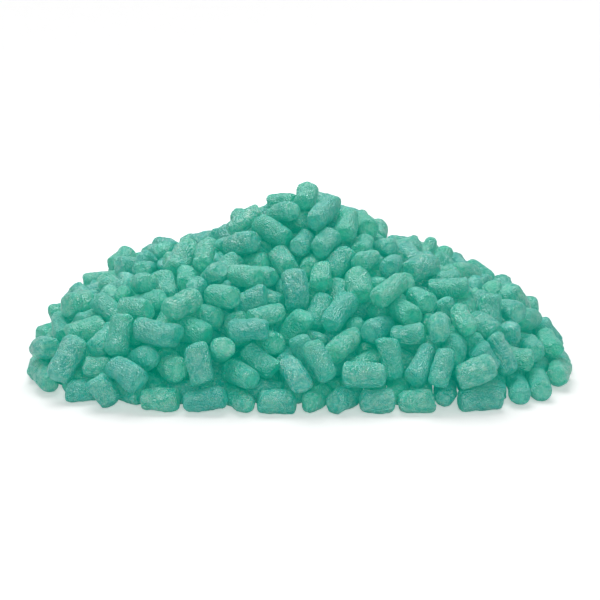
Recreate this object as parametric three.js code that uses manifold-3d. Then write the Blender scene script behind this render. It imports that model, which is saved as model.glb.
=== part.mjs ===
// A bagful of loose-fill packing peanuts, tipped out in a heap.
//
// Each peanut is a short length of extruded foam with two cut ends. All of them are poured
// and settled together, so that they lie on the floor and on each other. The ones that lie
// most open are solids of their own, peanut_01 to peanut_59. The others are joined in one
// lumpy body, heap_fill, which has a pocket for each of them.
// Millimetres, +Z up, with the origin on the floor under the middle of the heap.

import * as THREE from "three";
import { mergeVertices } from "three/addons/utils/BufferGeometryUtils.js";
import Module from "manifold-3d";

// The heap.
const HALF_WIDTH = 195.5;
const HALF_DEPTH = 152;
const PEAK = 130; // height of the free surface at its middle
const SLOPE = 0.6; // share of that height lost between the middle and the edge
const PEANUTS = 870;
const SEED = 62;

// One peanut.
const DIAMETER = 15.6;
const DIAMETER_SPREAD = 0.15;
const LENGTH = 24.5;
const LENGTH_SPREAD = 0.34;
const RIM = 2.3; // how far the edge of a cut end is rounded off
const GAP = 0.3; // kept between two peanuts that touch

// How the heap settles.
const ROUNDS = 800;
const GROWING_ROUNDS = 150; // peanuts start small and grow to size in these
const FIRST_SIZE = 0.55;
const FIRST_PULL = 0.5; // mm a round, fading to the last
const LAST_PULL = 0.02;
const GIVE = 0.5; // share of an overlap that a round takes away
const CLOSE_BY = 3; // mm between two peanuts that are watched for a touch
const ROUND_END = 0.68; // how much of its radius the round end of a peanut's core takes up

// The peanuts that are solids of their own.
const SINGLE_PEANUTS = 59;
const SINGLE_CLEARANCE = 0.6; // between two of them
const SIGHT_LINE = 60; // how far out each must be free of others
const OUTLINE_SIDES = 10;

// The body of all the others.
const FILL_RAYS = 64;
const FILL_RINGS = 14;
const FILL_EDGE = 0.965; // its outline, as a share of the heap's
const FILL_BRIDGING = 2; // gaps of up to about twice this are bridged
const BALLS = 7; // balls in a row that stand for a peanut in its surface

const FOAM_COLOURS = ["#51a896", "#66b1a1", "#44a08d"];

// One stream of random numbers from 0 to 1, the same each time.
let stream = SEED;
function random() {
  stream = (Math.imul(stream, 1664525) + 1013904223) >>> 0;
  return stream / 4294967296;
}

const between = (low, high) => low + (high - low) * random();
const around = (middle, spread) => middle * (1 + spread * (random() + random() - 1));
const clamp = (value, limit) => Math.min(Math.max(value, -limit), limit);

function unit(x, y, z) {
  const size = Math.sqrt(x * x + y * y + z * z);
  return [x / size, y / size, z / size];
}

// A random direction, tipped towards level by a lift below 1.
function randomDirection(lift) {
  for (;;) {
    const x = between(-1, 1);
    const y = between(-1, 1);
    const z = between(-1, 1);
    const size = x * x + y * y + z * z;
    if (size > 0.05 && size < 1) return unit(x, y, z * lift);
  }
}

// How far out (x, y) is: 0 in the middle and 1 on the heap's rounded outline.
function reachOf(x, y) {
  const across = x / HALF_WIDTH;
  const along = y / HALF_DEPTH;
  return Math.sqrt(Math.sqrt(across * across * across * across + along * along * along * along));
}

// The free surface: nearly a cone, with a steep edge. Its height is a share of PEAK.
function surfaceHeight(reach) {
  const third = reach * reach * reach;
  return (1 - third * third * third * third) * (1 - SLOPE * reach);
}

// A peanut of random size and shape, dropped somewhere in the heap.
function pourPeanut() {
  const radius = around(DIAMETER, DIAMETER_SPREAD) / 2;
  const length = around(LENGTH, LENGTH_SPREAD);
  let x, y, z;
  do {
    x = between(-HALF_WIDTH, HALF_WIDTH);
    y = between(-HALF_DEPTH, HALF_DEPTH);
    z = between(0, 1.2);
  } while (reachOf(x, y) > 1 || z > 1.2 * surfaceHeight(reachOf(x, y)));
  const [ax, ay, az] = randomDirection(0.6);
  return {
    radius,
    length,
    x,
    y,
    z: z * PEAK,
    ax,
    ay,
    az,
    core: Math.max(length / 2 - ROUND_END * radius, 1),
    turning: 1 / ((length * length) / 12 + (radius * radius) / 4),
    side: randomDirection(1),
    bow: between(0, 0.06) * length,
    flat: between(0.86, 1),
    taper: between(0, 0.12),
    waist: between(0, 0.06),
    slants: [between(-0.2, 0.2), between(-0.2, 0.2)],
  };
}

// Moves every peanut down the slope that leads to the free surface's own shape.
function pullDown(peanuts, step) {
  for (const p of peanuts) {
    const across = p.x / HALF_WIDTH;
    const along = p.y / HALF_DEPTH;
    const reach = Math.max(reachOf(p.x, p.y), 0.001);
    const third = reach * reach * reach;
    const edge = third * third * third * third;
    const fall = ((-12 * edge) / reach) * (1 - SLOPE * reach) - SLOPE * (1 - edge);
    const sx = (((fall * across * across * across) / third) / HALF_WIDTH);
    const sy = (((fall * along * along * along) / third) / HALF_DEPTH);
    const size = Math.sqrt(sx * sx + sy * sy + 1 / PEAK / PEAK);
    p.x += (step * sx) / size;
    p.y += (step * sy) / size;
    p.z -= step / PEAK / size;
  }
}

// Pairs of peanuts near enough to touch in the next few rounds.
function closePairs(peanuts) {
  const pairs = [];
  peanuts.forEach((p, i) => {
    for (let j = i + 1; j < peanuts.length; j++) {
      const q = peanuts[j];
      const dx = p.x - q.x;
      const dy = p.y - q.y;
      const dz = p.z - q.z;
      const reach = p.arm + p.skin + q.arm + q.skin + CLOSE_BY;
      if (dx * dx + dy * dy + dz * dz < reach * reach) pairs.push([p, q]);
    }
  });
  return pairs;
}

// The nearest points of two core lines: how far along each, and the way from q's to p's.
function nearest(p, q, pArm, qArm) {
  const dx = p.x - q.x;
  const dy = p.y - q.y;
  const dz = p.z - q.z;
  const cosine = p.ax * q.ax + p.ay * q.ay + p.az * q.az;
  const e = p.ax * dx + p.ay * dy + p.az * dz;
  const f = q.ax * dx + q.ay * dy + q.az * dz;
  let s = clamp((cosine * f - e) / Math.max(1 - cosine * cosine, 0.000001), pArm);
  const t = clamp(cosine * s + f, qArm);
  s = clamp(cosine * t - e, pArm);
  const x = dx + s * p.ax - t * q.ax;
  const y = dy + s * p.ay - t * q.ay;
  const z = dz + s * p.az - t * q.az;
  return { s, t, x, y, z, distance: Math.sqrt(x * x + y * y + z * z) };
}

// Pushes overlapping peanuts apart and turns them, all at once.
function pushApart(peanuts, pairs) {
  for (const p of peanuts) {
    p.gained = [0, 0, 0, 0, 0, 0];
    p.lost = [0, 0, 0, 0, 0, 0];
  }
  for (const [p, q] of pairs) {
    const near = nearest(p, q, p.arm, q.arm);
    const overlap = p.skin + q.skin - near.distance;
    if (overlap <= 0) continue;
    const away = Math.max(near.distance, 0.000001);
    const nx = near.x / away;
    const ny = near.y / away;
    const nz = near.z / away;
    const pn = p.ax * nx + p.ay * ny + p.az * nz;
    const qn = q.ax * nx + q.ay * ny + q.az * nz;
    const pEase = 1 + p.turning * near.s * near.s * (1 - pn * pn);
    const qEase = 1 + q.turning * near.t * near.t * (1 - qn * qn);
    const push = (GIVE * overlap) / (pEase + qEase);
    const pTurn = p.turning * near.s * push;
    const qTurn = q.turning * near.t * push;
    p.gained[0] += push * nx;
    p.gained[1] += push * ny;
    p.gained[2] += push * nz;
    p.gained[3] += pTurn * (nx - pn * p.ax);
    p.gained[4] += pTurn * (ny - pn * p.ay);
    p.gained[5] += pTurn * (nz - pn * p.az);
    q.lost[0] += push * nx;
    q.lost[1] += push * ny;
    q.lost[2] += push * nz;
    q.lost[3] += qTurn * (nx - qn * q.ax);
    q.lost[4] += qTurn * (ny - qn * q.ay);
    q.lost[5] += qTurn * (nz - qn * q.az);
  }
  for (const p of peanuts) {
    p.x += p.gained[0] - p.lost[0];
    p.y += p.gained[1] - p.lost[1];
    p.z += p.gained[2] - p.lost[2];
    const ax = p.ax + (p.gained[3] - p.lost[3]);
    const ay = p.ay + (p.gained[4] - p.lost[4]);
    const az = p.az + (p.gained[5] - p.lost[5]);
    [p.ax, p.ay, p.az] = unit(ax, ay, az);
  }
}

// Keeps both ends of every peanut on the floor and within the outline.
function holdIn(peanuts) {
  for (const p of peanuts) {
    for (const arm of [-p.arm, p.arm]) {
      const x = p.x + arm * p.ax;
      const y = p.y + arm * p.ay;
      const z = p.z + arm * p.az;
      const reach = Math.max(reachOf(x, y), 0.001);
      const back = Math.min((1 - (1.15 * p.skin) / HALF_WIDTH) / reach, 1) - 1;
      const dx = x * back;
      const dy = y * back;
      const dz = Math.max(p.skin - GAP / 2 - z, 0);
      const ease = 1 + p.turning * arm * arm;
      const along = dx * p.ax + dy * p.ay + dz * p.az;
      const turn = (p.turning * arm) / ease;
      p.x += dx / ease;
      p.y += dy / ease;
      p.z += dz / ease;
      const ax = p.ax + turn * (dx - along * p.ax);
      const ay = p.ay + turn * (dy - along * p.ay);
      const az = p.az + turn * (dz - along * p.az);
      [p.ax, p.ay, p.az] = unit(ax, ay, az);
    }
  }
}

// Pours all the peanuts and lets them settle.
function settledHeap() {
  const peanuts = Array.from({ length: PEANUTS }, pourPeanut);
  let pairs = [];
  for (let round = 0; round < ROUNDS; round++) {
    const left = 1 - round / ROUNDS;
    const size = Math.min(FIRST_SIZE + ((1 - FIRST_SIZE) * round) / GROWING_ROUNDS, 1);
    for (const p of peanuts) {
      p.skin = (p.radius + GAP / 2) * size;
      p.arm = p.core * size;
    }
    pullDown(peanuts, FIRST_PULL * left * left * left + LAST_PULL);
    if (round % 5 === 0) pairs = closePairs(peanuts);
    pushApart(peanuts, pairs);
    holdIn(peanuts);
  }
  return peanuts;
}

// How free the way out of the heap is from the middle of a peanut, in mm. Below 0 is blocked.
function openness(p, peanuts) {
  const [ax, ay, az] = unit(p.x / HALF_WIDTH, p.y / HALF_DEPTH, 0.7);
  const half = SIGHT_LINE / 2;
  const line = { x: p.x + half * ax, y: p.y + half * ay, z: p.z + half * az, ax, ay, az };
  const others = peanuts.filter((q) => q !== p);
  const ways = others.map((q) => nearest(line, q, half, q.core).distance - q.radius);
  return Math.min(...ways) - p.radius / 2;
}

// The most open peanuts that also keep clear of each other.
function openPeanuts(peanuts) {
  const ranked = peanuts.map((p) => [openness(p, peanuts), p]).sort((a, b) => b[0] - a[0]);
  const taken = [];
  for (const [, p] of ranked) {
    const clear = (q) =>
      nearest(p, q, p.core, q.core).distance - p.radius - q.radius > SINGLE_CLEARANCE;
    if (taken.length < SINGLE_PEANUTS && taken.every(clear)) taken.push(p);
  }
  return taken;
}

// One peanut along its own Y axis, bowed, waisted and tapered, with slanting cut ends.
// All of that is within the plain round bar. grow makes it that much larger all round.
function peanutGeometry(p, grow) {
  const radius = p.radius - p.bow / 3 + grow;
  const half = p.length / 2 + grow;
  const profile = [
    [0, -half],
    [radius - RIM, -half],
    [radius, RIM - half],
    [radius, 0],
    [radius, half - RIM],
    [radius - RIM, half],
    [0, half],
  ];
  const outline = profile.map(([x, y]) => new THREE.Vector2(x, y));
  const geometry = new THREE.LatheGeometry(outline, OUTLINE_SIDES);
  const points = geometry.attributes.position;
  for (let i = 0; i < points.count; i++) {
    const t = points.getY(i) / half;
    const width = 1 - (p.taper * (1 + t)) / 2 - p.waist * (1 - t * t);
    const slant = p.slants[t > 0 ? 1 : 0] * t * t;
    const x = points.getX(i);
    points.setX(i, x * width + p.bow * (1 / 3 - t * t));
    points.setY(i, points.getY(i) + slant * x - Math.sign(t) * Math.abs(slant) * radius);
    points.setZ(i, points.getZ(i) * width * p.flat);
  }
  return geometry;
}

// Stands a peanut's mesh where it lies in the heap.
function layDown(mesh, p) {
  const axis = new THREE.Vector3(p.ax, p.ay, p.az);
  const side = new THREE.Vector3(...p.side);
  side.addScaledVector(axis, -side.dot(axis)).normalize();
  const third = new THREE.Vector3().crossVectors(side, axis);
  mesh.quaternion.setFromRotationMatrix(new THREE.Matrix4().makeBasis(side, axis, third));
  mesh.position.set(p.x, p.y, p.z);
  mesh.updateMatrix();
  return mesh;
}

// Height of the top of some balls over (x, y). They are taken a little too large and too
// low, so that the narrow gaps between them are bridged.
function topOver(balls, x, y) {
  let top = RIM;
  for (const ball of balls) {
    const radius = ball.radius + FILL_BRIDGING;
    const inside = radius * radius - (x - ball.x) ** 2 - (y - ball.y) ** 2;
    if (inside > 0) top = Math.max(top, ball.z + Math.sqrt(inside) - FILL_BRIDGING);
  }
  return top;
}

function ballsOf(p) {
  return Array.from({ length: BALLS }, (_, i) => {
    const along = p.core * ((2 * i) / (BALLS - 1) - 1);
    const radius = p.radius;
    return { x: p.x + along * p.ax, y: p.y + along * p.ay, z: p.z + along * p.az, radius };
  });
}

// The upper surface of many peanuts on rings round the middle, closed down to a flat base.
function fillGeometry(peanuts) {
  const balls = peanuts.flatMap(ballsOf);
  const points = [];
  const faces = [];
  const addPoint = (x, y, z) => points.push(x, y, z) / 3 - 1;
  const crown = addPoint(0, 0, topOver(balls, 0, 0));
  const rings = [];
  for (let ring = 1; ring <= FILL_RINGS; ring++) {
    const corners = [];
    for (let ray = 0; ray < FILL_RAYS; ray++) {
      const angle = (2 * Math.PI * ray) / FILL_RAYS;
      const x = HALF_WIDTH * Math.cos(angle);
      const y = HALF_DEPTH * Math.sin(angle);
      const share = (FILL_EDGE * ring) / FILL_RINGS / reachOf(x, y);
      corners.push(addPoint(x * share, y * share, topOver(balls, x * share, y * share)));
    }
    rings.push(corners);
  }
  const floor = rings.at(-1).map((i) => addPoint(points[3 * i], points[3 * i + 1], 0));
  const centre = addPoint(0, 0, 0);
  rings.push(floor);
  for (let ray = 0; ray < FILL_RAYS; ray++) {
    const next = (ray + 1) % FILL_RAYS;
    faces.push(crown, rings[0][ray], rings[0][next]);
    for (let ring = 1; ring < rings.length; ring++) {
      const inner = rings[ring - 1];
      const outer = rings[ring];
      faces.push(inner[ray], outer[ray], outer[next], inner[ray], outer[next], inner[next]);
    }
    faces.push(centre, floor[next], floor[ray]);
  }
  const geometry = new THREE.BufferGeometry();
  geometry.setAttribute("position", new THREE.Float32BufferAttribute(points, 3));
  geometry.setIndex(faces);
  return geometry;
}

const wasm = await Module();
wasm.setup();

// A closed geometry, placed by a matrix, as a solid that can be cut.
function solidOf(geometry, matrix) {
  const bare = new THREE.BufferGeometry();
  bare.setAttribute("position", geometry.attributes.position.clone());
  bare.setIndex(geometry.index);
  bare.applyMatrix4(matrix);
  const merged = mergeVertices(bare, 0.001);
  const vertProperties = merged.attributes.position.array;
  const triVerts = new Uint32Array(merged.index.array);
  return new wasm.Manifold(new wasm.Mesh({ numProp: 3, vertProperties, triVerts }));
}

function geometryOf(solid) {
  const { vertProperties, triVerts } = solid.getMesh();
  const geometry = new THREE.BufferGeometry();
  geometry.setAttribute("position", new THREE.BufferAttribute(vertProperties, 3));
  geometry.setIndex(new THREE.BufferAttribute(triVerts, 1));
  geometry.computeVertexNormals();
  return geometry;
}

function foam(shade) {
  const color = FOAM_COLOURS[shade % FOAM_COLOURS.length];
  return new THREE.MeshStandardMaterial({ color, roughness: 0.75, metalness: 0 });
}

function singlePeanut(p, index) {
  const mesh = layDown(new THREE.Mesh(peanutGeometry(p, 0), foam(index)), p);
  mesh.name = "peanut_" + String(index + 1).padStart(2, "0");
  return mesh;
}

// The joined peanuts, with a pocket that is GAP wider than each single one.
function heapFill(peanuts, singles) {
  let solid = solidOf(fillGeometry(peanuts), new THREE.Matrix4());
  for (const p of singles) {
    const grown = layDown(new THREE.Mesh(peanutGeometry(p, GAP)), p);
    solid = solid.subtract(solidOf(grown.geometry, grown.matrix));
  }
  const bodies = solid.decompose().sort((a, b) => b.volume() - a.volume());
  const mesh = new THREE.Mesh(geometryOf(bodies[0]), foam(0));
  mesh.name = "heap_fill";
  return mesh;
}

const peanuts = settledHeap();
const singles = openPeanuts(peanuts);
const joined = peanuts.filter((p) => !singles.includes(p));

const heap = new THREE.Group();
heap.name = "peanut_heap";
heap.add(heapFill(joined, singles));
heap.add(...singles.map(singlePeanut));

export default heap;
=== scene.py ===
# %% [markdown]
# # A heap of packing peanuts
#
# This is one bagful of loose-fill packing peanuts, tipped out on a table. Each peanut is a
# short bar of starch foam: the dough is pushed through a round die, puffs up with steam as
# it comes out, and a spinning knife chops it off. Then hundreds of them are poured in a heap
# and lie as they fall, squeezing each other a little.
#
# The script does the same three things in the same order. It pours and settles the heap,
# so that it knows where every peanut lies. It makes one plain bar and lets Geometry Nodes
# bend a copy of it into each peanut. And it gives the foam its finish, once for the skin
# that slid through the die and once for the ends that the knife made.

import bpy
import numpy as np
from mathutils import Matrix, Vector
from mathutils.bvhtree import BVHTree


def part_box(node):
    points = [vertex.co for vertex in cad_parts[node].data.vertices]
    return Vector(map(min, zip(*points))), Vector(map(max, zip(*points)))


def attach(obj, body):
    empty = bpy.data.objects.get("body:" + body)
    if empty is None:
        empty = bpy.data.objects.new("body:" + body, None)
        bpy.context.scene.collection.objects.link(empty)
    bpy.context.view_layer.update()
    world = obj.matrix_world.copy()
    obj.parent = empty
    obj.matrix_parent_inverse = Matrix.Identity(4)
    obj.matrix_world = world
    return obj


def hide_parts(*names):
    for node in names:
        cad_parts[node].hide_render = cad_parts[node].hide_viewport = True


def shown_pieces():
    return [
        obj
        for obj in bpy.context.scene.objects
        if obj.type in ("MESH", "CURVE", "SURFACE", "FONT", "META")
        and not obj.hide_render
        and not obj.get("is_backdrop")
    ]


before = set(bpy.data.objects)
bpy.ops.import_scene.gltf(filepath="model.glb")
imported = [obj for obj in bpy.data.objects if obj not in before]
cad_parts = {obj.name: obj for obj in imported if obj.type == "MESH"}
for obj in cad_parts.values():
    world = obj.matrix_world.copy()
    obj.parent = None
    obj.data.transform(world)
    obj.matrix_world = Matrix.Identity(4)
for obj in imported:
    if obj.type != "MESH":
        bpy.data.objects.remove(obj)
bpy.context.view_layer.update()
MM = 0.001

# %% [markdown]
# ## The heap and its peanuts
#
# The real heap has the shape of whatever was poured: nearly a cone on a rounded base, whose
# edge is steep because the peanuts there lean on nothing. A few sizes say all of that. They
# are the model's own driving sizes, in millimetres, and so the peanuts come to lie where the
# model has them.
#
# Nothing here is random in the sense of being different each time. One short formula gives
# a stream of numbers that looks random and always starts from the same seed.

# %% Sizes of the heap and of a peanut
HALF_WIDTH, HALF_DEPTH = 195.5, 152.0
PEAK = 130.0
SLOPE = 0.6
PEANUTS = 870
SEED = 62

DIAMETER, DIAMETER_SPREAD = 15.6, 0.15
LENGTH, LENGTH_SPREAD = 24.5, 0.34
GAP = 0.3
ROUND_END = 0.68

# %% A stream of random numbers
SHORTEST = 0.05
stream = SEED


def random():
    global stream
    stream = (stream * 1664525 + 1013904223) % 4294967296
    return stream / 4294967296


def between(low, high):
    return low + (high - low) * random()


def around(middle, spread):
    return middle * (1 + spread * (random() + random() - 1))


def random_direction(lift):
    """A direction, tipped towards level by a lift below 1."""
    while True:
        x, y, z = between(-1, 1), between(-1, 1), between(-1, 1)
        if SHORTEST < x * x + y * y + z * z < 1:
            z = z * lift
            size = np.sqrt(x * x + y * y + z * z)
            return x / size, y / size, z / size


print("The stream starts at", stream)

# %% The heap's outline and its free surface
def reach_of(x, y):
    """0 in the middle of the heap, 1 on its rounded outline."""
    across, along = x / HALF_WIDTH, y / HALF_DEPTH
    return np.sqrt(np.sqrt(across * across * across * across + along * along * along * along))


def surface_height(reach):
    """Height of the free surface, as a share of PEAK."""
    third = reach * reach * reach
    return (1 - third * third * third * third) * (1 - SLOPE * reach)


print("Halfway out the heap is", round(PEAK * surface_height(0.5)), "mm high")

# %% How much peanuts differ
POUR_HEIGHT = 1.2
LIFT = 0.6
MOST_BOW, LEAST_FLAT = 0.06, 0.86
MOST_TAPER, MOST_WAIST, MOST_SLANT = 0.12, 0.06, 0.2
print("A peanut is bowed by up to", MOST_BOW, "and oval down to", LEAST_FLAT)


# %% Pour the peanuts
def pour():
    """One peanut of its own size, dropped somewhere in the heap, as one row of numbers."""
    radius = around(DIAMETER, DIAMETER_SPREAD) / 2
    length = around(LENGTH, LENGTH_SPREAD)
    while True:
        x, y = between(-HALF_WIDTH, HALF_WIDTH), between(-HALF_DEPTH, HALF_DEPTH)
        z = between(0, POUR_HEIGHT)
        if reach_of(x, y) <= 1 and z <= POUR_HEIGHT * surface_height(reach_of(x, y)):
            break
    axis, side = random_direction(LIFT), random_direction(1)
    bow, flat = between(0, MOST_BOW) * length, between(LEAST_FLAT, 1)
    taper, waist = between(0, MOST_TAPER), between(0, MOST_WAIST)
    slants = between(-MOST_SLANT, MOST_SLANT), between(-MOST_SLANT, MOST_SLANT)
    return radius, length, x, y, z * PEAK, *axis, *side, bow, flat, taper, waist, *slants


poured = np.array([pour() for _ in range(PEANUTS)]).T
radius, length = poured[0], poured[1]
place, axis, side = poured[2:5].copy(), poured[5:8].copy(), poured[8:11].copy()
bow, flat, taper, waist = poured[11:15]
slants = poured[15:17]
print(PEANUTS, "peanuts", round(radius.min() * 2, 1), "to", round(radius.max() * 2, 1), "mm across")

# %% [markdown]
# ## Letting the heap settle
#
# A real peanut stops where others hold it up. A full physics simulation of hundreds of soft
# bars is slow, and each version of Blender gives a slightly different heap. So each peanut
# is taken as a round-ended bar, and a few hundred short rounds do what gravity and contact
# do. In a round, every peanut slides a little down the slope. Then each pair that overlaps
# is pushed apart and turned as a lever would be, and the floor and the outline hold the
# ends in. The pull fades, so that they come to rest touching.
#
# All the peanuts are handled at once as columns of numbers, which is why this takes
# seconds and not minutes.

# %% How the settling runs, and small vector sums on columns
ROUNDS, GROWING_ROUNDS, FIRST_SIZE = 800, 150, 0.55
FIRST_PULL, LAST_PULL = 0.5, 0.02
GIVE, CLOSE_BY, PAIRS_EVERY = 0.5, 3, 5
EDGE_ROOM = 1.15
TINY, TINY_REACH = 0.000001, 0.001

core = np.maximum(length / 2 - ROUND_END * radius, 1)
turning = 1 / ((length * length) / 12 + (radius * radius) / 4)


def dot(a, b):
    return a[0] * b[0] + a[1] * b[1] + a[2] * b[2]


def unit(a):
    return a / np.sqrt(dot(a, a))


print("The straight core of a peanut is", round(2 * core.mean(), 1), "mm long on average")

# %% Slide down the slope
def pull_down(step):
    across, along = place[0] / HALF_WIDTH, place[1] / HALF_DEPTH
    reach = np.maximum(reach_of(place[0], place[1]), TINY_REACH)
    third = reach * reach * reach
    edge = third * third * third * third
    fall = ((-12 * edge) / reach) * (1 - SLOPE * reach) - SLOPE * (1 - edge)
    slope_x = ((fall * across * across * across) / third) / HALF_WIDTH
    slope_y = ((fall * along * along * along) / third) / HALF_DEPTH
    steep = np.sqrt(slope_x * slope_x + slope_y * slope_y + 1 / PEAK / PEAK)
    place[0] += (step * slope_x) / steep
    place[1] += (step * slope_y) / steep
    place[2] -= step / PEAK / steep


# %% Find where two bars come nearest
def close_pairs(arm, skin, spare):
    first, second = np.triu_indices(PEANUTS, 1)
    apart = place[:, first] - place[:, second]
    far = arm[first] + skin[first] + arm[second] + skin[second] + spare
    near = dot(apart, apart) < far * far
    return first[near], second[near]


def nearest(i, j, arm):
    """How far along each core line, and the way from j's nearest point to i's."""
    apart, a, b = place[:, i] - place[:, j], axis[:, i], axis[:, j]
    cosine, e, f = dot(a, b), dot(a, apart), dot(b, apart)
    s = (cosine * f - e) / np.maximum(1 - cosine * cosine, TINY)
    s = np.clip(s, -arm[i], arm[i])
    t = np.clip(cosine * s + f, -arm[j], arm[j])
    s = np.clip(cosine * t - e, -arm[i], arm[i])
    way = apart + s * a - t * b
    return s, t, way, np.sqrt(dot(way, way))


print(len(close_pairs(core, radius, CLOSE_BY)[0]), "pairs of poured peanuts lie close")

# %% Push overlapping peanuts apart
def push_apart(i, j, arm, skin):
    global axis
    s, t, way, distance = nearest(i, j, arm)
    overlap = skin[i] + skin[j] - distance
    hit = overlap > 0
    i, j, s, t, overlap = i[hit], j[hit], s[hit], t[hit], overlap[hit]
    normal = way[:, hit] / np.maximum(distance[hit], TINY)
    a, b = axis[:, i], axis[:, j]
    a_normal, b_normal = dot(a, normal), dot(b, normal)
    a_ease = 1 + turning[i] * s * s * (1 - a_normal * a_normal)
    b_ease = 1 + turning[j] * t * t * (1 - b_normal * b_normal)
    push = (GIVE * overlap) / (a_ease + b_ease)
    a_turn, b_turn = turning[i] * s * push, turning[j] * t * push
    turned = []
    for x in range(3):
        gained = np.bincount(i, push * normal[x], PEANUTS)
        lost = np.bincount(j, push * normal[x], PEANUTS)
        place[x] += gained - lost
        gained = np.bincount(i, a_turn * (normal[x] - a_normal * a[x]), PEANUTS)
        lost = np.bincount(j, b_turn * (normal[x] - b_normal * b[x]), PEANUTS)
        turned.append(axis[x] + (gained - lost))
    axis = unit(np.array(turned))


# %% Keep both ends on the floor and within the outline
def hold_in(arm, skin):
    global place, axis
    for way_out in (-arm, arm):
        end = place + way_out * axis
        reach = np.maximum(reach_of(end[0], end[1]), TINY_REACH)
        back = np.minimum((1 - (EDGE_ROOM * skin) / HALF_WIDTH) / reach, 1) - 1
        lift = np.maximum(skin - GAP / 2 - end[2], 0)
        move = np.array([end[0] * back, end[1] * back, lift])
        ease = 1 + turning * way_out * way_out
        along = dot(move, axis)
        turn = (turning * way_out) / ease
        place = place + move / ease
        axis = unit(axis + turn * (move - along * axis))


# %% Settle the heap
for k in range(ROUNDS):
    left = 1 - k / ROUNDS
    size = min(FIRST_SIZE + ((1 - FIRST_SIZE) * k) / GROWING_ROUNDS, 1)
    skin, arm = (radius + GAP / 2) * size, core * size
    pull_down(FIRST_PULL * left * left * left + LAST_PULL)
    if k % PAIRS_EVERY == 0:
        i, j = close_pairs(arm, skin, CLOSE_BY)
    push_apart(i, j, arm, skin)
    hold_in(arm, skin)

side = unit(side - dot(side, axis) * axis)
third = np.cross(side, axis, axis=0)
print("The highest peanut lies at", round(place[2].max(), 1), "mm")

# %% [markdown]
# ## Which peanut is which
#
# The model holds the most open peanuts as pieces of their own and all the others joined in
# one body. Each of the single ones is found again among the settled peanuts by its place:
# the middle of its box is nearly the middle of one peanut. How far off the worst match is
# tells whether the heap above is the model's heap.

# %% Match the model's single peanuts with the settled ones
single_nodes = sorted(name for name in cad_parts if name.startswith("peanut_"))


def settled_peanut_of(node):
    low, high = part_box(node)
    middle = np.array((low + high) / 2) / MM
    miss = np.linalg.norm(place.T - middle, axis=1)
    return int(miss.argmin()), float(miss.min())


matches = {node: settled_peanut_of(node) for node in single_nodes}
singles = {node: index for node, (index, _) in matches.items()}
worst = max(miss for _, miss in matches.values())
print(len(set(singles.values())), "single peanuts, the worst match", round(worst, 2), "mm off")

# %% [markdown]
# ## Where peanuts press on each other
#
# Starch foam is soft, and in a bag the peanuts dent each other. At each contact the two give
# way as far as the plane halfway between them. A plane is kept as one arrow in the peanut's
# own directions: it points from the peanut's middle straight at the plane and is as long as
# the way to it. Each peanut keeps its deepest few, and the floor counts as a neighbour too:
# `FLOOR_FIRST` puts it ahead of all the others. Where there are too few neighbours, an arrow
# of `NO_PRESS` millimetres stands for none, as it is too long to be reached.

# %% Find the planes that flatten each peanut
PRESSES = 6
NO_PRESS = 1000.0
FLOOR_FIRST = -1000.0
REACH = 0.8
SOFTNESS = 0.42

i, j = close_pairs(core, radius, REACH)
s, t, way, distance = nearest(i, j, core)
overlap = radius[i] + radius[j] - distance
touching = overlap > -REACH
i, j, s, t, overlap = i[touching], j[touching], s[touching], t[touching], overlap[touching]
normal = way[:, touching] / distance[touching]


def plane_arrows(peanut, along, outwards):
    """Arrows from each peanut's middle to the plane that it meets its neighbour on."""
    depth = along * dot(outwards, axis[:, peanut]) + radius[peanut] - overlap / 2
    own = [dot(outwards, way[:, peanut]) for way in (side, axis, third)]
    return (np.array(own) * depth).T


contacts = [[] for _ in range(PEANUTS)]
for peanut, arrows in ((i, plane_arrows(i, s, -normal)), (j, plane_arrows(j, t, normal))):
    for index, arrow, deep in zip(peanut, arrows, overlap):
        contacts[index].append((-deep, *arrow))

for index in np.flatnonzero(place[2] < core + radius):
    down = np.array([0.0, 0.0, -1.0])
    own = [dot(down, way[:, index]) for way in (side, axis, third)]
    contacts[index].append((FLOOR_FIRST, *np.array(own) * place[2, index]))

presses = np.tile([0.0, NO_PRESS, 0.0], (PRESSES, PEANUTS, 1))
for index, found in enumerate(contacts):
    for k, (_, *arrow) in enumerate(sorted(found)[:PRESSES]):
        presses[k, index] = arrow
print("contacts a peanut:", round(np.mean([len(found) for found in contacts]), 1))

# %% [markdown]
# ## One plain bar
#
# Every peanut starts as the same bar, 2 across and 2 long, round the Y axis: a skin that
# slid through the die, a rounded rim, and an end that the knife cut. The cut lies a hair
# below the rim, because the skin is tougher than the foam inside and stands proud. Four
# bars are made, from fine to plain, because a peanut that nobody can see needs no fine
# mesh. The faces of the cut ends carry an attribute, so that later they get a finish of
# their own.

# %% Make the bars
RIM_ACROSS, RIM_ALONG = 0.42, 0.28
CUT_SINK, CUT_DOME = 0.012, 0.045
OUTER_RING = 0.94


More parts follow.
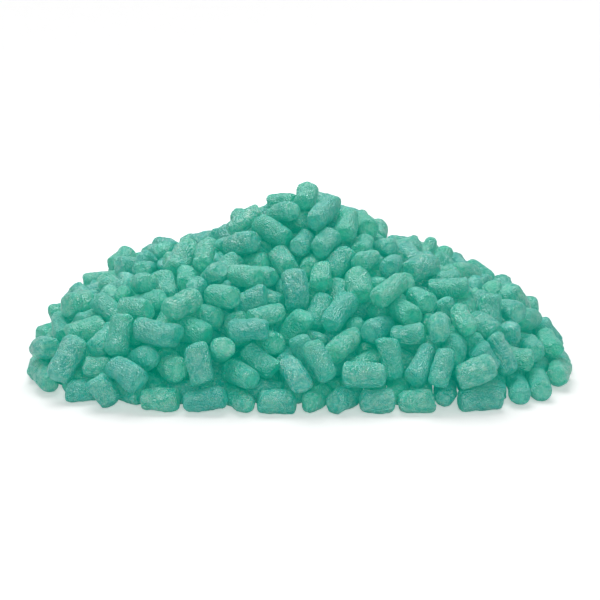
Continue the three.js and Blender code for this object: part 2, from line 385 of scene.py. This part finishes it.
def bar_mesh(name, sides, lengthwise, rim_steps, cut_rings):
    turns = np.linspace(0, np.pi / 2, rim_steps + 1)
    rim = [(1 - RIM_ACROSS * (1 - np.cos(a)), 1 - RIM_ALONG * (1 - np.sin(a))) for a in turns]
    shares = [OUTER_RING * (1 - k / cut_rings) for k in range(cut_rings)]
    cut = [((1 - RIM_ACROSS) * k, 1 - CUT_SINK + CUT_DOME * (1 - k * k)) for k in shares]
    upper = rim + cut
    straight = np.linspace(-1 + RIM_ALONG, 1 - RIM_ALONG, lengthwise + 1)[1:-1]
    profile = [(r, -y) for r, y in reversed(upper)] + [(1, y) for y in straight] + upper
    around_axis = [2 * np.pi * k / sides for k in range(sides)]
    points = [(r * np.sin(a), y, r * np.cos(a)) for r, y in profile for a in around_axis]
    tip = 1 - CUT_SINK + CUT_DOME
    points += [(0, -tip, 0), (0, tip, 0)]
    faces, is_cut = [], []
    last = len(profile) - 1
    for row in range(last):
        for k in range(sides):
            a, b = row * sides + k, row * sides + (k + 1) % sides
            faces.append((a, b, b + sides, a + sides))
            is_cut.append(row < cut_rings or row >= last - cut_rings)
    for k in range(sides):
        faces.append((len(points) - 2, (k + 1) % sides, k))
        faces.append((len(points) - 1, last * sides + k, last * sides + (k + 1) % sides))
        is_cut += [True, True]
    mesh = bpy.data.meshes.new(name)
    mesh.from_pydata(points, [], faces)
    mesh.attributes.new("cut", "BOOLEAN", "FACE").data.foreach_set("value", is_cut)
    bar = bpy.data.objects.new(name, mesh)
    triangles = sum(len(face) - 2 for face in faces)
    print(name, "has", triangles, "triangles")
    return bar


fine_bar = bar_mesh("fine_bar", sides=36, lengthwise=22, rim_steps=5, cut_rings=4)
open_bar = bar_mesh("open_bar", sides=26, lengthwise=14, rim_steps=4, cut_rings=3)
glimpsed_bar = bar_mesh("glimpsed_bar", sides=16, lengthwise=7, rim_steps=3, cut_rings=1)
hidden_bar = bar_mesh("hidden_bar", sides=8, lengthwise=1, rim_steps=1, cut_rings=1)

# %% [markdown]
# ## Adding nodes
#
# Both the shapes and the finishes are node trees. One small function adds a node: it sets
# what the node is told, and links what it is given, whether that is a number, another node
# or one of its outputs.


# %% A function that adds a node
def add(tree, kind, inputs=None, **settings):
    node = tree.nodes.new(kind)
    for name, value in settings.items():
        setattr(node, name, value)
    for socket, value in (inputs or {}).items():
        if isinstance(value, bpy.types.Node):
            value = next(output for output in value.outputs if output.enabled)
        if isinstance(value, bpy.types.NodeSocket):
            tree.links.new(value, node.inputs[socket])
        else:
            node.inputs[socket].default_value = value
    return node


# %% [markdown]
# ## Bending a bar into each peanut
#
# No two real peanuts are alike, yet all follow one rule. The bar is as long and as thick as
# its own dough made it. It is bowed, because one side cooled first. It is a little oval and
# tapered, and narrower at its ends than in the middle. The knife met it at a slant. Last it
# has wide soft swellings where bubbles grew unevenly, finer dents, and the flats from its
# neighbours.
#
# Geometry Nodes say that rule once. Each point of the heap carries its peanut's sizes as
# attributes. The tree puts a bar at each point, makes the copies real, and moves every
# vertex by the rule. The other way would be a mesh written by hand in Python for each one,
# which is slower and hides the rule.

# %% The tree's inputs
tree = bpy.data.node_groups.new("Peanuts from bars", "GeometryNodeTree")
INPUTS = {
    "Geometry": "NodeSocketGeometry",
    "Bar": "NodeSocketObject",
    "Swelling width": "NodeSocketFloat",
    "Swelling height": "NodeSocketFloat",
    "Dent width": "NodeSocketFloat",
    "Dent depth": "NodeSocketFloat",
    "Skin": "NodeSocketMaterial",
    "Cut end": "NodeSocketMaterial",
}
sockets = {
    name: tree.interface.new_socket(name, in_out="INPUT", socket_type=kind).identifier
    for name, kind in INPUTS.items()
}
tree.interface.new_socket("Geometry", in_out="OUTPUT", socket_type="NodeSocketGeometry")
given = add(tree, "NodeGroupInput").outputs
print("The tree takes", ", ".join(INPUTS))

# %% [markdown]
# The sizes that ride on the points come in through Named Attribute nodes, one for each
# name. An arrow or a place is a vector, and a plain size is a number. `bar` is where a
# vertex was on the plain bar, and `cut` says whether a face belongs to a cut end.

# %% The tree: each peanut's own sizes
VECTORS = ["axis", "side", "stretch", "widths", "slants", "bar"]
VECTORS += [f"press_{k}" for k in range(PRESSES)]
KINDS = dict.fromkeys(VECTORS, "FLOAT_VECTOR")
KINDS |= dict.fromkeys(["radius", "bow", "flat", "seed"], "FLOAT")
KINDS["cut"] = "BOOLEAN"
own = {
    name: add(tree, "GeometryNodeInputNamedAttribute", {"Name": name}, data_type=kind)
    for name, kind in KINDS.items()
}
print(len(own), "sizes come with each point")

# %% The tree: a bar at each point
turned = add(
    tree,
    "FunctionNodeAxesToRotation",
    {0: own["axis"], 1: own["side"]},
    primary_axis="Y",
    secondary_axis="X",
)
bar = add(tree, "GeometryNodeObjectInfo", {"Object": given["Bar"]}).outputs["Geometry"]
bar_place = add(tree, "GeometryNodeInputPosition")
kept = add(
    tree,
    "GeometryNodeStoreNamedAttribute",
    {"Geometry": bar, "Name": "bar", "Value": bar_place},
    data_type="FLOAT_VECTOR",
)
placed = add(
    tree,
    "GeometryNodeInstanceOnPoints",
    {"Points": given["Geometry"], "Instance": kept, "Rotation": turned, "Scale": own["stretch"]},
)
real = add(tree, "GeometryNodeRealizeInstances", {"Geometry": placed})
straight_point = add(
    tree, "ShaderNodeVectorMath", {0: own["bar"], 1: own["stretch"]}, operation="MULTIPLY"
)
straight = add(tree, "ShaderNodeSeparateXYZ", {0: straight_point}).outputs
print("A straight bar stands at each point")

# %% [markdown]
# Along the bar, `along` runs from -1 at one end to 1 at the other. The width there is a
# short formula in it, one number plus one number times `along` plus one times its square,
# and so are the bow and the slants. The bow is measured from the mean, so that a bowed bar
# stays where the straight one was.

# %% The tree: thickness, bow and oval
along = add(tree, "ShaderNodeSeparateXYZ", {0: own["bar"]}).outputs["Y"]
squared = add(tree, "ShaderNodeMath", {0: along, 1: along}, operation="MULTIPLY")
powers = add(tree, "ShaderNodeCombineXYZ", {"X": 1.0, "Y": along, "Z": squared})
width = add(
    tree, "ShaderNodeVectorMath", {0: powers, 1: own["widths"]}, operation="DOT_PRODUCT"
).outputs["Value"]
bend = add(tree, "ShaderNodeMath", {0: 1 / 3, 1: squared}, operation="SUBTRACT")
bend = add(tree, "ShaderNodeMath", {0: bend, 1: own["bow"]}, operation="MULTIPLY")
across = add(
    tree, "ShaderNodeMath", {0: straight["X"], 1: width, 2: bend}, operation="MULTIPLY_ADD"
)
oval = add(tree, "ShaderNodeMath", {0: width, 1: own["flat"]}, operation="MULTIPLY")
through = add(tree, "ShaderNodeMath", {0: straight["Z"], 1: oval}, operation="MULTIPLY")
print("Bars are bowed, oval and narrower at the ends")

# %% The tree: slanting cuts
cuts = add(tree, "ShaderNodeSeparateXYZ", {0: own["slants"]}).outputs
far_end = add(tree, "ShaderNodeMath", {0: along, 1: 0.0}, operation="GREATER_THAN")
slant = add(
    tree, "ShaderNodeMix", {"Factor": far_end, "A": cuts["X"], "B": cuts["Y"]}, data_type="FLOAT"
)
slant = add(tree, "ShaderNodeMath", {0: slant, 1: squared}, operation="MULTIPLY")
leaning = add(
    tree,
    "ShaderNodeMath",
    {0: slant, 1: straight["X"], 2: straight["Y"]},
    operation="MULTIPLY_ADD",
)
end = add(tree, "ShaderNodeMath", {0: along}, operation="SIGN")
steepness = add(tree, "ShaderNodeMath", {0: slant}, operation="ABSOLUTE")
trim = add(tree, "ShaderNodeMath", {0: steepness, 1: own["radius"]}, operation="MULTIPLY")
trim = add(tree, "ShaderNodeMath", {0: trim, 1: end}, operation="MULTIPLY")
lengthwise = add(tree, "ShaderNodeMath", {0: leaning, 1: trim}, operation="SUBTRACT")
shaped = add(tree, "ShaderNodeCombineXYZ", {"X": across, "Y": lengthwise, "Z": through})
print("The cuts slant, and a steep one makes the peanut shorter")

# %% [markdown]
# Swellings and dents are the same thing at two scales: a noise in three colours, taken as
# a push in three directions. Its fourth coordinate is the peanut's seed, so that every
# peanut gets a noise of its own.

# %% The tree: swellings and dents
for width_name, height_name, detail in (
    ("Swelling width", "Swelling height", 0.0),
    ("Dent width", "Dent depth", 1.0),
):
    per_metre = add(tree, "ShaderNodeMath", {0: 1.0, 1: given[width_name]}, operation="DIVIDE")
    lumps = add(
        tree,
        "ShaderNodeTexNoise",
        {"Vector": straight_point, "W": own["seed"], "Scale": per_metre, "Detail": detail},
        noise_dimensions="4D",
    ).outputs["Color"]
    centred = add(
        tree, "ShaderNodeVectorMath", {0: lumps, 1: (0.5, 0.5, 0.5)}, operation="SUBTRACT"
    )
    push = add(
        tree, "ShaderNodeVectorMath", {0: centred, "Scale": given[height_name]}, operation="SCALE"
    )
    shaped = add(tree, "ShaderNodeVectorMath", {0: shaped, 1: push}, operation="ADD")
print("The foam swells and dents by its own noise")

# %% [markdown]
# A neighbour's plane pushes back what reaches past it. A plain maximum would leave a sharp
# edge round each flat, as on a cut stone. A smooth maximum rounds that edge off over a
# couple of millimetres, and a part of the push is left out, as soft foam gives way.

# %% The tree: flats from the neighbours
FLAT_EDGE = 2.0 * MM

for k in range(PRESSES):
    arrow = own[f"press_{k}"]
    way = add(tree, "ShaderNodeVectorMath", {0: arrow}, operation="NORMALIZE")
    limit = add(tree, "ShaderNodeVectorMath", {0: arrow}, operation="LENGTH").outputs["Value"]
    reached = add(
        tree, "ShaderNodeVectorMath", {0: shaped, 1: way}, operation="DOT_PRODUCT"
    ).outputs["Value"]
    beyond = add(tree, "ShaderNodeMath", {0: reached, 1: limit}, operation="SUBTRACT")
    beyond = add(
        tree, "ShaderNodeMath", {0: beyond, 1: 0.0, 2: FLAT_EDGE}, operation="SMOOTH_MAX"
    )
    beyond = add(tree, "ShaderNodeMath", {0: beyond, 1: 1 - SOFTNESS}, operation="MULTIPLY")
    pressed = add(tree, "ShaderNodeVectorMath", {0: way, "Scale": beyond}, operation="SCALE")
    shaped = add(tree, "ShaderNodeVectorMath", {0: shaped, 1: pressed}, operation="SUBTRACT")
print("Up to", PRESSES, "neighbours flatten a peanut")

# %% [markdown]
# The rule gives each vertex a new place in its peanut's own directions. The vertex is
# already in the heap on a straight bar, so it is moved by the difference, turned the same
# way as the bar. Where it was on the straight bar is stored as `grain`, for the finish to
# follow: a pattern drawn on it sits on the foam as the die left it.

# %% The tree: move the vertices, then finish
shift = add(tree, "ShaderNodeVectorMath", {0: shaped, 1: straight_point}, operation="SUBTRACT")
shift = add(tree, "FunctionNodeRotateVector", {"Vector": shift, "Rotation": turned})
moved = add(tree, "GeometryNodeSetPosition", {"Geometry": real, "Offset": shift})
grained = add(
    tree,
    "GeometryNodeStoreNamedAttribute",
    {"Geometry": moved, "Name": "grain", "Value": straight_point},
    data_type="FLOAT_VECTOR",
)
smooth = add(tree, "GeometryNodeSetShadeSmooth", {"Geometry": grained})
skin_set = add(tree, "GeometryNodeSetMaterial", {"Geometry": smooth, "Material": given["Skin"]})
both_set = add(
    tree,
    "GeometryNodeSetMaterial",
    {"Geometry": skin_set, "Selection": own["cut"], "Material": given["Cut end"]},
)
add(tree, "NodeGroupOutput", {"Geometry": both_set})
print("The tree has", len(tree.nodes), "nodes")

# %% [markdown]
# ## The cloud of points
#
# A peanut is handed to the tree as one loose vertex with its sizes as attributes. Sizes are
# in metres from here on, as everything in Blender is. The ends are narrower than the middle
# by a share of the peanut's own, because the puffed dough shrinks back most at a fresh cut.
# Each bar is a hair plumper and longer than the one that settled, because soft foam that is
# squeezed in a heap fills the gaps.

# %% The sizes that each point carries
END_SHRINK = 0.08
PLUMP, LONGER = 0.4, 1.2
SEED_STEP = 7.3
GOLDEN_SHARE = 0.618034

thickness = radius - bow / 3 + PLUMP
counted = np.arange(PEANUTS)
SIZES = {
    "axis": axis,
    "side": side,
    "stretch": np.array([thickness, length / 2 + LONGER, thickness]) * MM,
    "widths": np.array([1 - taper / 2, -taper / 2, waist - END_SHRINK]),
    "slants": np.array([*slants, np.zeros(PEANUTS)]),
    "radius": thickness * MM,
    "bow": bow * MM,
    "flat": flat,
    "seed": counted * SEED_STEP,
    "tone": np.modf(counted * GOLDEN_SHARE)[0],
}
SIZES |= {f"press_{k}": presses[k].T * MM for k in range(PRESSES)}
print("Each point carries", ", ".join(SIZES))


# %% Make the cloud for the chosen peanuts
def cloud(name, chosen):
    mesh = bpy.data.meshes.new(name)
    mesh.vertices.add(len(chosen))
    mesh.vertices.foreach_set("co", (place[:, chosen].T * MM).ravel())
    for size, values in SIZES.items():
        kind, field = ("FLOAT_VECTOR", "vector") if values.ndim == 2 else ("FLOAT", "value")
        attribute = mesh.attributes.new(size, kind, "POINT")
        attribute.data.foreach_set(field, values.T[chosen].ravel())
    points = bpy.data.objects.new(name, mesh)
    bpy.context.scene.collection.objects.link(points)
    return points


# %% [markdown]
# The modifier on the cloud is given its bar, its sizes and its two finishes by the sockets'
# identifiers, then evaluated once. What comes out is kept as a plain mesh, and the cloud is
# thrown away. Of the attributes only those that the finish reads stay: the peanut's seed
# and tone, and the grain.

# %% Grow peanuts from a cloud
FOAM = {
    "Swelling width": 10 * MM,
    "Swelling height": 2.8 * MM,
    "Dent width": 3.2 * MM,
    "Dent depth": 1.5 * MM,
}
KEPT = ("tone", "seed", "grain", "position", "material_index", "sharp_face")


def grow(name, chosen, bar, skin=None, cut_end=None):
    """The chosen peanuts as one plain mesh object."""
    points = cloud(name + "_points", list(chosen))
    modifier = points.modifiers.new("peanuts", "NODES")
    modifier.node_group = tree
    modifier[sockets["Bar"]] = bar
    modifier[sockets["Skin"]] = skin
    modifier[sockets["Cut end"]] = cut_end
    for size, value in FOAM.items():
        modifier[sockets[size]] = value
    grown = points.evaluated_get(bpy.context.evaluated_depsgraph_get())
    mesh = bpy.data.meshes.new_from_object(grown)
    points.modifiers.remove(modifier)
    bpy.data.objects.remove(points)
    for attribute in [a.name for a in mesh.attributes if not a.name.startswith(".")]:
        if attribute not in KEPT:
            mesh.attributes.remove(mesh.attributes[attribute])
    mesh.name = name
    piece = bpy.data.objects.new(name, mesh)
    bpy.context.scene.collection.objects.link(piece)
    return piece


# %% [markdown]
# ## What can be seen
#
# Half of the peanuts lie inside the heap, where fine meshes would be wasted. To know which,
# a coarse heap is grown first. From each vertex of a peanut, lines of sight go out to all
# sides of the sky, spread as evenly as seeds on a sunflower. A peanut from which few lines
# get out can be coarse in the final heap too.

# %% Lines of sight
SIGHTS = 24
SIGHT_STEP = 0.4 * MM
GOLDEN_ANGLE = np.pi * (3 - np.sqrt(5))

heights = (np.arange(SIGHTS) + 0.5) / SIGHTS
turns = np.arange(SIGHTS) * GOLDEN_ANGLE
levels = np.sqrt(1 - heights * heights)
sights = [Vector(way) for way in zip(np.cos(turns) * levels, np.sin(turns) * levels, heights)]

coarse = grow("coarse_heap", range(PEANUTS), hidden_bar)
corners = [vertex.co.copy() for vertex in coarse.data.vertices]
coarse_faces = [polygon.vertices[:] for polygon in coarse.data.polygons]
foam_walls = BVHTree.FromPolygons(corners, coarse_faces)
per_peanut = len(corners) // PEANUTS
bpy.data.objects.remove(coarse)
print("The coarse heap has", len(coarse_faces), "faces")


# %% How open each peanut lies
def open_share(index):
    """The share of a peanut's lines of sight that leave the heap."""
    middle = Vector(place[:, index] * MM)
    free = 0
    for corner in corners[index * per_peanut : (index + 1) * per_peanut]:
        outwards = (corner - middle).normalized()
        start = corner + outwards * SIGHT_STEP
        ways = [sight for sight in sights if sight.dot(outwards) > 0]
        free += sum(foam_walls.ray_cast(start, sight)[0] is None for sight in ways)
    return free / (per_peanut * SIGHTS)


SEEN, GLIMPSED = 0.04, 0.002

openness = np.array([open_share(index) for index in range(PEANUTS)])
loose = [index for index in range(PEANUTS) if index not in singles.values()]
seen = [index for index in loose if openness[index] > SEEN]
glimpsed = [index for index in loose if GLIMPSED < openness[index] <= SEEN]
hidden = [index for index in loose if openness[index] <= GLIMPSED]
print(len(seen), "loose peanuts lie open,", len(glimpsed), "are glimpsed,", len(hidden), "hidden")

# %% [markdown]
# ## Colours
#
# Colours are easiest to judge on a screen, so they are written as sRGB hex values. The
# nodes reckon in linear light, so one function turns them over, with the numbers that the
# sRGB standard gives.


# %% Linear colours from hex
def linear(hexadecimal):
    values = [int(hexadecimal[k : k + 2], 16) / 255 for k in (1, 3, 5)]
    return [v / 12.92 if v <= 0.04045 else ((v + 0.055) / 1.055) ** 2.4 for v in values] + [1]


print("A dyed starch green in linear light:", [round(v, 3) for v in linear("#00b4a8")])

# %% [markdown]
# ## Expanded starch foam
#
# Loose-fill foam is corn starch, dyed in the dough. It is nearly all air in tiny bubbles.
# That gives the eye four things, and each has its place in the finish:
#
# - Light wanders deep into the foam and comes out green where no lamp reaches, so shadows
#   between peanuts are soft and more strongly coloured than the tops. That is subsurface
#   scattering with a reach of a whole peanut in green and a much shorter one in red. A faint
#   painted glow in the foam's own colour, though the foam is no lamp, stands in for the light
#   passed on from peanut to peanut and lifts the shadows between the peanuts.
# - The dry skin of the bubbles is a little shiny. Every bubble catches a lamp at another
#   angle, so the tops carry a fine silvery veil. A rough coat over a bumpy surface gives it.
# - Some bubbles burst and turned chalky, so the colour is clouded with paler cells.
# - Every peanut comes from another moment of the batch: some are bluer, some yellower, some
#   chalkier.
#
# Real cells are 0.3 to 0.8 mm across, which is too fine to show when the whole heap is
# looked at. They are drawn about twice as coarse, so that they still show.

# %% The foam's own measures
FOAM_CELL = 1.15 * MM
WRINKLE = 2.2 * MM
CHALKY_PATCH = 4 * MM
BLOTCH = 6 * MM
DRAWN_OUT = 0.85
PATTERN_STEP = 0.01
BLOTCHINESS, TONE_START = 0.6, 0.3
LEAST_CHALK, MOST_CHALK = 0.2, 0.85
CHALK_FROM, CHALK_FULL = 0.46, 0.92
CELL_SHARE = 0.2
BUBBLE_SHARE = 0.6

FOAM_SHADER = {
    "IOR": 1.5,
    "Specular IOR Level": 0.2,
    "Coat Weight": 1.0,
    "Coat IOR": 2.2,
    "Coat Roughness": 0.36,
    "Subsurface Weight": 0.8,
    "Subsurface Radius": (0.15, 1.0, 0.75),
    "Subsurface Scale": 10 * MM,
    # Painted light: the foam glows faintly in its own green, with no lamp behind it, to lift the
    # shadows between the peanuts.
    "Emission Color": linear("#00ffe2"),
    "Emission Strength": 0.1,
}
print("A foam cell is drawn", round(FOAM_CELL / MM, 2), "mm wide")


# %% [markdown]
# The finish is built in three short steps. `body_colour` is the dyed foam: each peanut's
# own tone, a little blotchy. `chalk` is how far the foam has turned pale: a noise makes
# cloudy patches, a Voronoi pattern sets each cell in them a little apart, and each peanut
# has its own most. `relief_of` is the height of the surface: round bubbles between soft
# wrinkles. The patterns follow the grain, slightly drawn out along the bar, as the die
# draws the bubbles.


# %% The dyed foam
def body_colour(nodes, deep, pale):
    spot = add(nodes, "ShaderNodeTexCoord").outputs["Object"]
    tone = add(nodes, "ShaderNodeAttribute", attribute_name="tone").outputs["Fac"]
    blotch = add(
        nodes, "ShaderNodeTexNoise", {"Vector": spot, "Scale": 1 / BLOTCH, "Detail": 1.0}
    ).outputs["Fac"]
    shade = add(
        nodes, "ShaderNodeMath", {0: blotch, 1: BLOTCHINESS, 2: tone}, operation="MULTIPLY_ADD"
    )
    shade = add(
        nodes, "ShaderNodeMath", {0: shade, 1: TONE_START}, operation="SUBTRACT", use_clamp=True
    )
    mixed = add(
        nodes,
        "ShaderNodeMix",
        {"Factor": shade, 6: linear(deep), 7: linear(pale)},
        data_type="RGBA",
    )
    return mixed.outputs[2]


# %% The chalky patches
def chalk(nodes, drawn_out, cells, seed):
    patches = add(
        nodes, "ShaderNodeTexNoise", {"Vector": drawn_out, "Scale": 1 / CHALKY_PATCH}
    ).outputs["Fac"]
    chance = add(nodes, "ShaderNodeTexWhiteNoise", {"W": seed}, noise_dimensions="1D")
    most = add(
        nodes,
        "ShaderNodeMapRange",
        {0: chance.outputs["Value"], "To Min": LEAST_CHALK, "To Max": MOST_CHALK},
    )
    cell_chance = add(nodes, "ShaderNodeSeparateColor", {0: cells.outputs["Color"]})
    chalky = add(
        nodes,
        "ShaderNodeMath",
        {0: cell_chance, 1: CELL_SHARE, 2: patches},
        operation="MULTIPLY_ADD",
    )
    return add(
        nodes,
        "ShaderNodeMapRange",
        {0: chalky, "From Min": CHALK_FROM, "From Max": CHALK_FULL, "To Max": most},
    )


# %% Bubbles and wrinkles
def relief_of(nodes, drawn_out, cells, height):
    wrinkles = add(
        nodes, "ShaderNodeTexNoise", {"Vector": drawn_out, "Scale": 1 / WRINKLE}
    ).outputs["Fac"]
    surface = add(
        nodes,
        "ShaderNodeMath",
        {0: cells.outputs["Distance"], 1: -BUBBLE_SHARE, 2: wrinkles},
        operation="MULTIPLY_ADD",
    )
    return add(nodes, "ShaderNodeBump", {"Height": surface, "Distance": height})


# %% The whole finish
def foam_material(name, deep, pale, chalk_colour, cell, roughness, height):
    material = bpy.data.materials.new(name)
    material.use_nodes = True
    nodes = material.node_tree
    shader = nodes.nodes["Principled BSDF"]
    seed = add(nodes, "ShaderNodeAttribute", attribute_name="seed").outputs["Fac"]
    grain = add(nodes, "ShaderNodeAttribute", attribute_name="grain").outputs["Vector"]
    own_place = add(nodes, "ShaderNodeMath", {0: seed, 1: PATTERN_STEP}, operation="MULTIPLY")
    drawn_out = add(
        nodes,
        "ShaderNodeMapping",
        {"Vector": grain, "Location": own_place, "Scale": (1.0, DRAWN_OUT, 1.0)},
    )
    cells = add(nodes, "ShaderNodeTexVoronoi", {"Vector": drawn_out, "Scale": 1 / cell})
    colour = add(
        nodes,
        "ShaderNodeMix",
        {
            "Factor": chalk(nodes, drawn_out, cells, seed),
            6: body_colour(nodes, deep, pale),
            7: linear(chalk_colour),
        },
        data_type="RGBA",
    )
    bump = relief_of(nodes, drawn_out, cells, height)
    nodes.links.new(colour.outputs[2], shader.inputs["Base Color"])
    nodes.links.new(bump.outputs["Normal"], shader.inputs["Normal"])
    nodes.links.new(bump.outputs["Normal"], shader.inputs["Coat Normal"])
    shader.inputs["Roughness"].default_value = roughness
    for socket, value in FOAM_SHADER.items():
        shader.inputs[socket].default_value = value
    print(name, "has", len(nodes.nodes), "nodes")
    return material


# %% [markdown]
# ## Skin and cut ends
#
# The skin slid through the hot die and then puffed up, so its bubbles stand out and it is
# crinkled: the deeper relief. The ends were sliced by the knife while still soft. A slice
# opens the bubbles and smears them flat, so the cut is finer, flatter, a touch paler and
# more matte than the skin.

# %% The two finishes
skin_foam = foam_material(
    "extruded_starch_foam_skin",
    deep="#00b4a8",
    pale="#1cc4a6",
    chalk_colour="#bce8d6",
    cell=FOAM_CELL,
    roughness=0.4,
    height=1.9 * MM,
)
cut_foam = foam_material(
    "knife_cut_starch_foam",
    deep="#04bcae",
    pale="#24ccac",
    chalk_colour="#c0ecda",
    cell=0.8 * FOAM_CELL,
    roughness=0.45,
    height=0.8 * MM,
)

# %% [markdown]
# ## The single peanuts
#
# The most open peanuts are pieces of their own in the model. Each gets the finest bar, and
# takes the place of its plain solid.

# %% Grow the single peanuts
for node, index in singles.items():
    piece = grow(node.replace("peanut", "open_peanut"), [index], fine_bar, skin_foam, cut_foam)
    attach(piece, "root")
    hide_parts(node)
print(len(singles), "single peanuts are grown")

# %% [markdown]
# ## The loose peanuts
#
# All the others share one plain body in the model. Here they are six pieces: the open ones
# by quarter of the heap, which keeps each piece light, then the glimpsed and the hidden
# ones. Such a shape is no trim to be thinned to a few faces: it is what the object is made
# of, and each copy is bent into a form of its own. So the bars get coarser only by how
# little of them shows.


# %% Grow the loose peanuts
def quarter(front, left):
    return [k for k in seen if (place[1, k] < 0) == front and (place[0, k] < 0) == left]


LOOSE = {
    "front_left": (quarter(True, True), open_bar),
    "front_right": (quarter(True, False), open_bar),
    "back_left": (quarter(False, True), open_bar),
    "back_right": (quarter(False, False), open_bar),
    "under": (glimpsed, glimpsed_bar),
    "inside": (hidden, hidden_bar),
}
for name, (chosen, bar) in LOOSE.items():
    piece = grow("loose_peanuts_" + name, chosen, bar, skin_foam, cut_foam)
    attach(piece, "root")
    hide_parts("heap_fill")
    print(name, "holds", len(chosen), "peanuts")
total = sum(len(face.vertices) - 2 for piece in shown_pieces() for face in piece.data.polygons)
print("The heap has", total, "triangles")

# %% [markdown]
# ## The studio floor
#
# The heap lies on white paper, which bends up into a wall far away on every side, as the
# paper sweep in a studio does. A round bowl has no corner or horizon to show from any side.
# It is one outline turned round the upright axis.

# %% The outline of the floor and its mesh
FLOOR_RADIUS, BEND, WALL_HEIGHT = 2.4, 0.8, 2.2
BEND_STEPS, STAGE_SIDES = 12, 96

bend_angles = np.linspace(0, np.pi / 2, BEND_STEPS + 1)
outline = [(FLOOR_RADIUS + BEND * np.sin(a), BEND * (1 - np.cos(a))) for a in bend_angles]
outline += [(FLOOR_RADIUS + BEND, WALL_HEIGHT)]
round_angles = [2 * np.pi * k / STAGE_SIDES for k in range(STAGE_SIDES)]
points = [(r * np.cos(a), r * np.sin(a), z) for r, z in outline for a in round_angles]
faces = [tuple(range(STAGE_SIDES))]
for row in range(len(outline) - 1):
    for k in range(STAGE_SIDES):
        a, b = row * STAGE_SIDES + k, row * STAGE_SIDES + (k + 1) % STAGE_SIDES
        faces.append((a, a + STAGE_SIDES, b + STAGE_SIDES, b))
mesh = bpy.data.meshes.new("studio_floor")
mesh.from_pydata(points, [], faces)
mesh.polygons.foreach_set("use_smooth", [True] * len(faces))
floor = bpy.data.objects.new("studio_floor", mesh)
bpy.context.scene.collection.objects.link(floor)
floor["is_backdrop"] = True
print("The floor is", 2 * (FLOOR_RADIUS + BEND), "m across")

# %% [markdown]
# Matte paper sends light back evenly, with no shine. In a studio it is lit so strongly that
# it turns out plain white, but light that strong would also flood the peanuts from below.
# So the paper has a glow that only the camera sees. It grows with the distance from the
# middle, so that the soft shadow round the heap stays and the far wall melts into the floor.

# %% The paper
PAPER_GREY, PAPER_ROUGHNESS = 0.8, 0.9
GLOW_NEAR, GLOW_FAR = 0.42, 0.8
NEAR, FAR = 0.3, 2.0

paper = bpy.data.materials.new("matte_white_paper")
paper.use_nodes = True
nodes = paper.node_tree
shader = nodes.nodes["Principled BSDF"]
shader.inputs["Base Color"].default_value = (PAPER_GREY, PAPER_GREY, PAPER_GREY, 1)
shader.inputs["Roughness"].default_value = PAPER_ROUGHNESS
shader.inputs["Emission Color"].default_value = (1, 1, 1, 1)
spot = add(nodes, "ShaderNodeTexCoord").outputs["Object"]
away = add(nodes, "ShaderNodeVectorMath", {0: spot}, operation="LENGTH").outputs["Value"]
reach = {"From Min": NEAR, "From Max": FAR, "To Min": GLOW_NEAR, "To Max": GLOW_FAR}
glow = add(nodes, "ShaderNodeMapRange", {0: away, **reach})
seen_directly = add(nodes, "ShaderNodeLightPath").outputs["Is Camera Ray"]
glow = add(nodes, "ShaderNodeMath", {0: glow, 1: seen_directly}, operation="MULTIPLY")
nodes.links.new(glow.outputs[0], shader.inputs["Emission Strength"])
floor.data.materials.append(paper)
print("The paper's finish has", len(nodes.nodes), "nodes")

# %% [markdown]
# ## Light
#
# The light is soft, so that no peanut throws a hard shadow. A large softbox above and a
# little behind lays the silvery veil on the tops. Another stands low in front and fills the
# side that faces the camera. A faint even white sky lifts what neither of them reaches, and
# it stays faint, so that the gaps between the peanuts keep their strong colour.

# %% Two softboxes and the even light
AIM = Vector((0, 0, 0.05))
SKY = 0.18


def softbox(name, at, size, power):
    lamp = bpy.data.lights.new(name, "AREA")
    lamp.shape = "DISK"
    lamp.size = size
    lamp.energy = power
    light = bpy.data.objects.new(name, lamp)
    light.location = at
    light.rotation_euler = (AIM - Vector(at)).to_track_quat("-Z", "Y").to_euler()
    bpy.context.scene.collection.objects.link(light)
    print(name, "gives", power, "W from", round((AIM - Vector(at)).length, 2), "m")


softbox("softbox_above", at=(-0.15, 0.5, 1.4), size=1.5, power=18.5)
softbox("softbox_in_front", at=(0.2, -1.9, 0.9), size=1.4, power=9)
world = bpy.data.worlds.new("even_white_light")
bpy.context.scene.world = world
world.use_nodes = True
world.node_tree.nodes["Background"].inputs["Color"].default_value = (1, 1, 1, 1)
world.node_tree.nodes["Background"].inputs["Strength"].default_value = SKY
print("The sky has a strength of", SKY)

# %% [markdown]
# ## The camera
#
# The heap is looked at from the front and a little from above, from a step away, so that
# the near peanuts are somewhat larger than the far ones. The plain Standard view keeps the
# foam's colours as they are mixed, where a film-like one would grey them.

# %% Place the camera
CAMERA_AT = (0, -0.691, 0.220)
CAMERA_PITCH = 15
LENS, SENSOR = 55.5, 36

lens = bpy.data.cameras.new("camera")
lens.sensor_width = SENSOR
lens.lens = LENS
camera = bpy.data.objects.new("camera", lens)
camera.location = CAMERA_AT
camera.rotation_euler = (np.radians(90 - CAMERA_PITCH), 0, 0)
bpy.context.scene.collection.objects.link(camera)
bpy.context.scene.camera = camera
bpy.context.scene.view_settings.view_transform = "Standard"
print("The camera looks down by", CAMERA_PITCH, "degrees")
